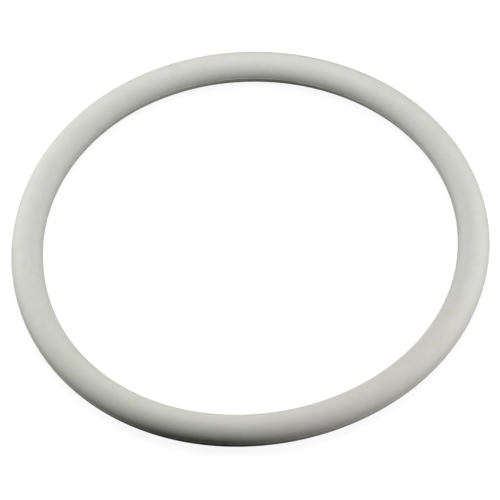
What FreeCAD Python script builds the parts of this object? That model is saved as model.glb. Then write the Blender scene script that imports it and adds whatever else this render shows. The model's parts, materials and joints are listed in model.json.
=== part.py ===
"""O-ring: a moulded rubber sealing ring of round section, in one piece.

It lies flat, with +Z along its axis. The origin is the middle of its hole, level with the
parting line that runs round it at half its height. All sizes are in millimetres.
"""

import math
import os

import FreeCAD
import Part

# Driving dimensions
inside_diameter = 47.22  # clear hole, measured across the parting line
section_diameter = 3.53  # thickness of the round section, measured along the axis
land_height = 0.04  # how far the trimmed parting line stands out of the round section
land_width = 0.10  # flat top that trimming leaves on the parting line
land_flank = 0.03  # width of the slope on each side of that flat top

# What follows from them
section_radius = section_diameter / 2
ring_radius = inside_diameter / 2 + land_height + section_radius
land_edge = land_width / 2
root_edge = land_edge + land_flank
root_reach = math.sqrt(section_radius**2 - root_edge**2)
land_reach = section_radius + land_height

HOLE_MIDDLE = FreeCAD.Vector(0, 0, 0)
RING_AXIS = FreeCAD.Vector(0, 0, 1)
OUTSIDE = 1
IN_HOLE = -1
UPPER = 1
LOWER = -1


def section_point(reach, height):
    """A point of the section, from its middle: reach is away from the axis, height along it."""
    return FreeCAD.Vector(ring_radius + reach, 0, height)


def parting_line(side):
    """The slope, the flat top and the other slope of the trimmed line, on one side of the section."""
    corners = [
        section_point(side * root_reach, -side * root_edge),
        section_point(side * land_reach, -side * land_edge),
        section_point(side * land_reach, side * land_edge),
        section_point(side * root_reach, side * root_edge),
    ]
    return [Part.LineSegment(start, end) for start, end in zip(corners, corners[1:])]


def half_round(half):
    """The arc that one half of the mould forms, from one parting line over to the other."""
    return Part.Arc(
        section_point(half * root_reach, half * root_edge),
        section_point(0, half * section_radius),
        section_point(-half * root_reach, half * root_edge),
    )


def section():
    """The moulded section: two half rounds that meet in a fine parting line on each side."""
    outline = [
        *parting_line(OUTSIDE),
        half_round(UPPER),
        *parting_line(IN_HOLE),
        half_round(LOWER),
    ]
    return Part.Face(Part.Wire([curve.toShape() for curve in outline]))


def o_ring():
    """The section carried once round the axis."""
    return section().revolve(HOLE_MIDDLE, RING_AXIS)


def main():
    os.makedirs("parts", exist_ok=True)
    o_ring().exportStep("parts/o_ring.step")


main()
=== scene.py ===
"""The o-ring lies flat on a plain floor, seen from above as in the photograph.

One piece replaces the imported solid. It is the same ring with what only the surface shows: the
slight out-of-round of a soft ring that nothing holds, the uneven trimming of its parting line,
and the satin skin of the mould. Lengths are in metres, and angles are in degrees until used.
"""

import json
import math

import bpy
import numpy as np
from mathutils import Matrix, Vector


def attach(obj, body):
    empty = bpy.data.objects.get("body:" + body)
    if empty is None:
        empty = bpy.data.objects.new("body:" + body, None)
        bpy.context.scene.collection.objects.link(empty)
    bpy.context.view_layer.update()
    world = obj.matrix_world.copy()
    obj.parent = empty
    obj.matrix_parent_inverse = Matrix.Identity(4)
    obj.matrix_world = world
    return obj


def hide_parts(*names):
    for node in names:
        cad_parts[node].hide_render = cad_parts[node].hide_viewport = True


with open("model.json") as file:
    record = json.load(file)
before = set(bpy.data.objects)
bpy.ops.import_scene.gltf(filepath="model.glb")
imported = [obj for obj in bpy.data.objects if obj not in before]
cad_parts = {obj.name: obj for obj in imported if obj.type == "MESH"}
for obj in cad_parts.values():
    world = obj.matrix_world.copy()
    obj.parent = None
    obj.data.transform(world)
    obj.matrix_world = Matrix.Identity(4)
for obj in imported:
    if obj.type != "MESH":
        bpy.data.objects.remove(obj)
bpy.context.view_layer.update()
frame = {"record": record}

MM = 0.001

# The imported ring: the radii of its two mounts, which are its hole and its outside at
# the parting line's lands
mount_radius = {mount["name"]: mount["dims"]["r_mm"] * MM for mount in frame["record"]["mounts"]}
LAND_HEIGHT = 0.04 * MM  # how far the trimmed parting line stands out of the round section
ring_radius = (mount_radius["housing_side"] + mount_radius["shaft_side"]) / 2
section_radius = (mount_radius["housing_side"] - mount_radius["shaft_side"]) / 2 - LAND_HEIGHT

# How the photograph was taken
PHOTO_SIZE = 500  # pixels along each side
RING_MIDDLE_PIXEL = (248.69, 242.69)  # where the middle of the hole lies in it
FOCAL_PIXELS = 3832  # the lens's focal length in those pixels
SENSOR_WIDTH = 36.0  # in millimetres, as camera sensors are
CAMERA_ELEVATION = 54.30
CAMERA_ROLL = 5.17  # the ring's near side is turned this far, so its left end hangs lower
CAMERA_DISTANCE = 17.12 * ring_radius
NEAREST_DRAWN = CAMERA_DISTANCE / 100  # nothing nearer to the lens is drawn

# Free state: how far a soft ring lies out of round, as lobes added to its radius
LOBES = [
    (3, 0.134 * MM, -8.5),  # number of lobes, height, azimuth of the first
    (4, 0.050 * MM, 43.8),
]

# Parting line: the trimmed land, whose height and edges waver along the ring
LAND_EDGE = 0.05 * MM  # from its middle to the edge of its flat top
LAND_FLANK = 0.03 * MM  # width of the slope beyond that edge
LAND_WAVER = 0.65  # share of its height that trimming takes off here and there
LAND_DRIFT = 0.012 * MM  # how far its middle wanders up and down
TRIM_WAVES = range(9, 140, 5)  # waves round the ring that make up the wavering
DRIFT_SEED = 11
TRIM_SEED = 12

# Grid of the ring's skin
STEPS_ROUND = 720
STEPS_SECTION = 128
CROWDING = 0.85  # how closely the grid's lines crowd to the parting line, from 0 to 1

# Rubber, as the photograph shows it in its middle tones: pale, with the faint warm and yellow tints of
# shade painted on in patches
PALE = (0.624, 0.631, 0.602)
PAINTED_WARM_SHADE = (0.644, 0.629, 0.606)
PAINTED_YELLOW_SHADE = (0.623, 0.630, 0.576)
SPECKLED = (0.655, 0.658, 0.625)
MOTTLING = (0.970, 0.968, 0.925)  # what the darker mottles leave of these colours

# What varies over the rubber: the width of its patches, the seed of their noise, and the values of
# that noise between which a patch fades in
# The next two are patches of painted shade: the warm and the yellow tint of shade, laid on wherever their
# noise falls
WARM_SHADE_PATCHES = (26 * MM, 16, 0.48, 0.62)
YELLOW_SHADE_PATCHES = (24 * MM, 70, 0.55, 0.65)
MOTTLES = (1.3 * MM, 8, 0.35, 0.70)
SPECKS = (0.07 * MM, 3, 0.50, 0.80)
BLOOM = (3 * MM, 5, 0.35, 0.65)

# The rubber's skin: satin, duller where it has bloomed and where the parting line was trimmed
SATIN = 0.72  # roughness, to which bloom and trimming add
BLOOM_DULLS = 0.08
TRIMMING_DULLS = 0.15
GLOSS = 0.10  # specular level
REFRACTION = 1.42  # index of silicone rubber

# Its relief: the fine grain that mould and trimming leave, and the slow unevenness of soft rubber
GRAIN_WIDTH = 0.12 * MM
GRAIN_DETAIL = 3.0  # how many finer layers the grain has
SKIN_RELIEF = 0.004 * MM  # height of the grain that the mould leaves
TRIM_RELIEF = 0.014 * MM  # height of the grain that trimming leaves
RIPPLE_WIDTH = 1.2 * MM
RIPPLE_RELIEF = 0.010 * MM

# Floor and sky
FLOOR_HALF = 2.0  # metres from the floor's middle to each side
FLOOR_BOUNCE = (0.0215, 0.019, 0.0145)  # what the floor sends up to the ring
FLOOR_GREY = (0.15, 0.15, 0.15)  # what the eye sees of it, which keeps the shadow
FLOOR_GLOW = 0.91  # what lifts that grey to white where it is lit
SHADOW_FADE = (0.04, 0.09)  # distances from the ring's middle between which it turns plain white
WHITE = (1.0, 1.0, 1.0)

# A Mix node's sockets for colours, by number, because those for numbers and vectors share their names
MIX_SHARE = 0
MIX_FIRST = 6
MIX_SECOND = 7
MIX_RESULT = 2


def with_alpha(colour):
    """A colour as its socket takes it."""
    return (*colour, 1.0)


class Signal:
    """A node's output. Arithmetic between signals and numbers adds the Math nodes that work it out."""

    def __init__(self, tree, socket):
        self.tree = tree
        self.socket = socket

    def math(self, operation, *terms):
        return self.tree.add("ShaderNodeMath", {"operation": operation}, dict(enumerate(terms)))

    def __add__(self, other):
        return self.math("ADD", self, other)

    def __sub__(self, other):
        return self.math("SUBTRACT", self, other)

    def __rsub__(self, other):
        return self.math("SUBTRACT", other, self)

    def __mul__(self, other):
        return self.math("MULTIPLY", self, other)

    def size(self):
        return self.math("ABSOLUTE", self)

    def larger(self, other):
        return self.math("MAXIMUM", self, other)

    __radd__ = __add__
    __rmul__ = __mul__


class Nodes:
    """A node tree that starts empty. Its add method makes every node in it."""

    def __init__(self, owner):
        owner.use_nodes = True
        self.tree = owner.node_tree
        self.tree.nodes.clear()

    def add(self, kind, settings=None, sockets=None, output=0):
        """A node of that kind: its settings first, then a value or a signal for each socket, which
        goes by its name or its number. What comes back is the output of that name or number."""
        node = self.tree.nodes.new(kind)
        for name, value in (settings or {}).items():
            setattr(node, name, value)
        for name, value in (sockets or {}).items():
            if isinstance(value, Signal):
                self.tree.links.new(value.socket, node.inputs[name])
            else:
                node.inputs[name].default_value = value
        return Signal(self, node.outputs[output] if node.outputs else None)

    def place(self):
        """Object coordinates: the point's own place on the ring, in metres."""
        return self.add("ShaderNodeTexCoord", output="Object")

    def noise(self, place, width, seed=0, detail=1.0):
        """Cloudy noise from 0 to 1 whose patches are about that wide."""
        return self.add(
            "ShaderNodeTexNoise",
            {"noise_dimensions": "4D"},
            {"Vector": place, "W": seed, "Scale": 1 / width, "Detail": detail},
            output="Fac",
        )

    def rise(self, signal, start, end):
        """0 below start, 1 above end, and a smooth step between them."""
        return self.add(
            "ShaderNodeMapRange",
            {"interpolation_type": "SMOOTHSTEP"},
            {"Value": signal, "From Min": start, "From Max": end},
        )

    def patches(self, place, width, seed, start, end):
        """From 0 to 1 in patches about that wide, which fade in between two values of their noise."""
        return self.rise(self.noise(place, width, seed), start, end)

    def mix(self, share, first, second, blend="MIX"):
        """A colour that runs from first to its blend with second as share runs from 0 to 1."""
        first, second = [
            colour if isinstance(colour, Signal) else with_alpha(colour) for colour in (first, second)
        ]
        return self.add(
            "ShaderNodeMix",
            {"data_type": "RGBA", "blend_type": blend},
            {MIX_SHARE: share, MIX_FIRST: first, MIX_SECOND: second},
            output=MIX_RESULT,
        )

    def seen_directly(self):
        """1 for what the camera sees, itself or in gloss or through glass, and 0 for light that falls."""
        straight, glossy, through = [
            self.add("ShaderNodeLightPath", output=name)
            for name in ("Is Camera Ray", "Is Glossy Ray", "Is Transmission Ray")
        ]
        return straight.larger(glossy).larger(through)


def wavering(azimuth, seed):
    """A smooth uneven line between about -1 and 1: a sum of sine waves round the ring, each with a
    seeded phase and a height that falls as the root of its number."""
    generator = np.random.default_rng(seed)
    waves = np.array(TRIM_WAVES)
    phases = generator.uniform(0, 2 * math.pi, len(waves))
    heights = 1 / np.sqrt(waves)
    line = (heights * np.sin(azimuth[..., None] * waves + phases)).sum(-1)
    return line / np.abs(line).max()


def free_radius(azimuth):
    """The radius to the middle of the section: the ring's own, plus each lobe's height times the
    cosine of its number of lobes times the angle from its first."""
    radius = np.full_like(azimuth, ring_radius)
    for lobes, height, first in LOBES:
        radius += height * np.cos(lobes * (azimuth - math.radians(first)))
    return radius


def land(azimuth, height):
    """How far the parting line stands out at that height: the land's height, less what trimming
    takes off there, across its flat top, then a straight fall to nothing across each slope."""
    drift = LAND_DRIFT * wavering(azimuth, DRIFT_SEED)
    trimmed = 1 - LAND_WAVER * (1 + wavering(azimuth, TRIM_SEED)) / 2
    fall = (np.abs(height - drift) - LAND_EDGE) / LAND_FLANK
    return LAND_HEIGHT * trimmed * np.clip(1 - fall, 0, 1)


def ring_skin():
    """Points of the skin on a grid of azimuth by section angle, as an array of places.

    The section angle runs once round the section from its outer side. Its lines crowd to the
    parting line: angle = step - crowding / 2 * sine of twice the step. A point lies at the free
    radius plus reach times the cosine of that angle, and at reach times its sine above the
    middle, where reach is the section's radius plus the land.
    """
    turn = np.linspace(0, 2 * math.pi, STEPS_ROUND, endpoint=False)
    step = np.linspace(0, 2 * math.pi, STEPS_SECTION, endpoint=False)
    azimuth, step = np.meshgrid(turn, step, indexing="ij")
    angle = step - CROWDING / 2 * np.sin(2 * step)
    reach = section_radius + land(azimuth, section_radius * np.sin(angle))
    radius = free_radius(azimuth) + reach * np.cos(angle)
    return np.stack([radius * np.cos(azimuth), radius * np.sin(azimuth), reach * np.sin(angle)], -1)


def closed_grid_faces(rows, columns):
    """Four-cornered faces of a grid that closes on itself both ways, turned outwards."""
    row, column = np.meshgrid(np.arange(rows), np.arange(columns), indexing="ij")
    next_row = (row + 1) % rows
    next_column = (column + 1) % columns
    corners = [
        row * columns + column,
        next_row * columns + column,
        next_row * columns + next_column,
        row * columns + next_column,
    ]
    return np.stack(corners, -1).reshape(-1, 4)


def mesh_piece(name, points, faces, finish):
    """An object at the origin whose mesh has those points and faces, shaded smooth."""
    mesh = bpy.data.meshes.new(name)
    mesh.from_pydata(points.reshape(-1, 3), [], faces)
    mesh.shade_smooth()
    mesh.materials.append(finish)
    piece = bpy.data.objects.new(name, mesh)
    bpy.context.scene.collection.objects.link(piece)
    return piece


def rubber():
    """Off-white moulded rubber, with the warm and the yellow tint of shade painted on it in patches.
    Its colour is finely mottled and holds pale specks. Its skin is satin with duller patches, shows
    the grain of the mould, and is rougher where the parting line was trimmed."""
    material = bpy.data.materials.new("off_white_rubber")
    nodes = Nodes(material)
    place = nodes.place()
    height = nodes.add("ShaderNodeSeparateXYZ", sockets={"Vector": place}, output="Z")
    trimmed = 1 - nodes.rise(height.size(), LAND_EDGE, LAND_EDGE + LAND_FLANK)

    # Painted shade: patches of the warm and the yellow tint of shade, laid on the rubber's colour
    # wherever their noise falls
    colour = nodes.mix(nodes.patches(place, *WARM_SHADE_PATCHES), PALE, PAINTED_WARM_SHADE)
    colour = nodes.mix(nodes.patches(place, *YELLOW_SHADE_PATCHES), colour, PAINTED_YELLOW_SHADE)
    colour = nodes.mix(nodes.patches(place, *MOTTLES), colour, MOTTLING, blend="MULTIPLY")
    colour = nodes.mix(nodes.patches(place, *SPECKS), colour, SPECKLED)

    roughness = SATIN + nodes.patches(place, *BLOOM) * BLOOM_DULLS + trimmed * TRIMMING_DULLS

    grain = nodes.noise(place, GRAIN_WIDTH, detail=GRAIN_DETAIL)
    ripple = nodes.noise(place, RIPPLE_WIDTH)
    relief = grain * (SKIN_RELIEF + trimmed * (TRIM_RELIEF - SKIN_RELIEF)) + ripple * RIPPLE_RELIEF
    # A distance of 1 takes the relief as it is, in metres
    normal = nodes.add("ShaderNodeBump", sockets={"Height": relief, "Distance": 1.0})

    shader = nodes.add(
        "ShaderNodeBsdfPrincipled",
        sockets={
            "Base Color": colour,
            "Roughness": roughness,
            "Normal": normal,
            "IOR": REFRACTION,
            "Specular IOR Level": GLOSS,
        },
    )
    nodes.add("ShaderNodeOutputMaterial", sockets={"Surface": shader})
    return material


def floor_finish():
    """A plain floor that looks white and keeps the shadow. Light that falls on it meets a dark grey.
    Where it is seen, it is a white glow and a little grey that the shadow darkens, and further from
    the ring it is plain white."""
    material = bpy.data.materials.new("white_floor")
    nodes = Nodes(material)
    bounce, grey = [
        nodes.add("ShaderNodeBsdfDiffuse", sockets={"Color": with_alpha(colour)})
        for colour in (FLOOR_BOUNCE, FLOOR_GREY)
    ]
    glow, plain = [
        nodes.add("ShaderNodeEmission", sockets={"Color": with_alpha(WHITE), "Strength": strength})
        for strength in (FLOOR_GLOW, 1.0)
    ]
    away = nodes.add(
        "ShaderNodeVectorMath", {"operation": "LENGTH"}, {0: nodes.place()}, output="Value"
    )
    shaded = nodes.add("ShaderNodeAddShader", sockets={0: grey, 1: glow})
    pale = nodes.add(
        "ShaderNodeMixShader", sockets={0: nodes.rise(away, *SHADOW_FADE), 1: shaded, 2: plain}
    )
    seen = nodes.add("ShaderNodeMixShader", sockets={0: nodes.seen_directly(), 1: bounce, 2: pale})
    nodes.add("ShaderNodeOutputMaterial", sockets={"Surface": seen})
    return material


def floor():
    """A flat square of floor under the ring, which rests on it."""
    half, z = FLOOR_HALF, -section_radius
    corners = np.array([(-half, -half, z), (half, -half, z), (half, half, z), (-half, half, z)])
    return mesh_piece("floor", corners, [(0, 1, 2, 3)], floor_finish())


def sky():
    """Plain white where it is seen. It gives no light, which all comes from the lamps."""
    world = bpy.data.worlds.new("sky")
    bpy.context.scene.world = world
    nodes = Nodes(world)
    white = nodes.add(
        "ShaderNodeBackground",
        sockets={"Color": with_alpha(WHITE), "Strength": nodes.seen_directly()},
    )
    nodes.add("ShaderNodeOutputWorld", sockets={"Surface": white})


def direction(azimuth, elevation):
    """The unit vector towards that azimuth, counted from +X towards +Y, and that elevation."""
    around, up = math.radians(azimuth), math.radians(elevation)
    return Vector((math.cos(around) * math.cos(up), math.sin(around) * math.cos(up), math.sin(up)))


def soft_lamp(name, azimuth, elevation, distance, width, level):
    """A round soft lamp that faces the middle of the ring. At level 1 a colour that faces it
    renders as written: its power is the square of pi times its distance."""
    light = bpy.data.lights.new(name, "AREA")
    light.shape = "DISK"
    light.size = width
    light.energy = level * (math.pi * distance) ** 2
    lamp = bpy.data.objects.new(name, light)
    towards = direction(azimuth, elevation)
    facing = towards.to_track_quat("Z", "Y").to_matrix().to_4x4()
    lamp.matrix_world = Matrix.Translation(towards * distance) @ facing
    lamp.visible_camera = False
    bpy.context.scene.collection.objects.link(lamp)


def lamps():
    """A broad lamp high over the ring, a low one at each side and a small one close behind it."""
    soft_lamp("overhead", azimuth=60, elevation=84, distance=0.20, width=0.16, level=0.72)
    soft_lamp("right", azimuth=344, elevation=12, distance=0.15, width=0.056, level=0.58)
    soft_lamp("left", azimuth=164, elevation=18, distance=0.13, width=0.072, level=0.58)
    soft_lamp("behind", azimuth=80, elevation=30, distance=0.07, width=0.063, level=0.20)


def camera():
    """The photograph's camera: raised from the front, rolled, then turned off the ring's middle by
    the angles at which that middle lies from the middle of the picture."""
    settings = bpy.data.cameras.new("camera")
    settings.sensor_width = SENSOR_WIDTH
    settings.lens = FOCAL_PIXELS * SENSOR_WIDTH / PHOTO_SIZE
    settings.clip_start = NEAREST_DRAWN
    aside, down = [math.atan((pixel - PHOTO_SIZE / 2) / FOCAL_PIXELS) for pixel in RING_MIDDLE_PIXEL]
    turns = [
        (90 - CAMERA_ELEVATION, "X"),
        (-CAMERA_ROLL, "Z"),
        (math.degrees(aside), "Y"),
        (math.degrees(down), "X"),
    ]
    pose = Matrix.Translation(direction(-90, CAMERA_ELEVATION) * CAMERA_DISTANCE)
    for angle, axis in turns:
        pose = pose @ Matrix.Rotation(math.radians(angle), 4, axis)
    viewer = bpy.data.objects.new("camera", settings)
    viewer.matrix_world = pose
    bpy.context.scene.collection.objects.link(viewer)
    bpy.context.scene.camera = viewer


def o_ring():
    """The moulded ring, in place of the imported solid."""
    skin = ring_skin()
    ring = mesh_piece("moulded_ring", skin, closed_grid_faces(*skin.shape[:2]), rubber())
    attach(ring, "root")
    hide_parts("o_ring")


camera()
o_ring()
floor()
sky()
lamps()
bpy.context.scene.view_settings.view_transform = "Standard"
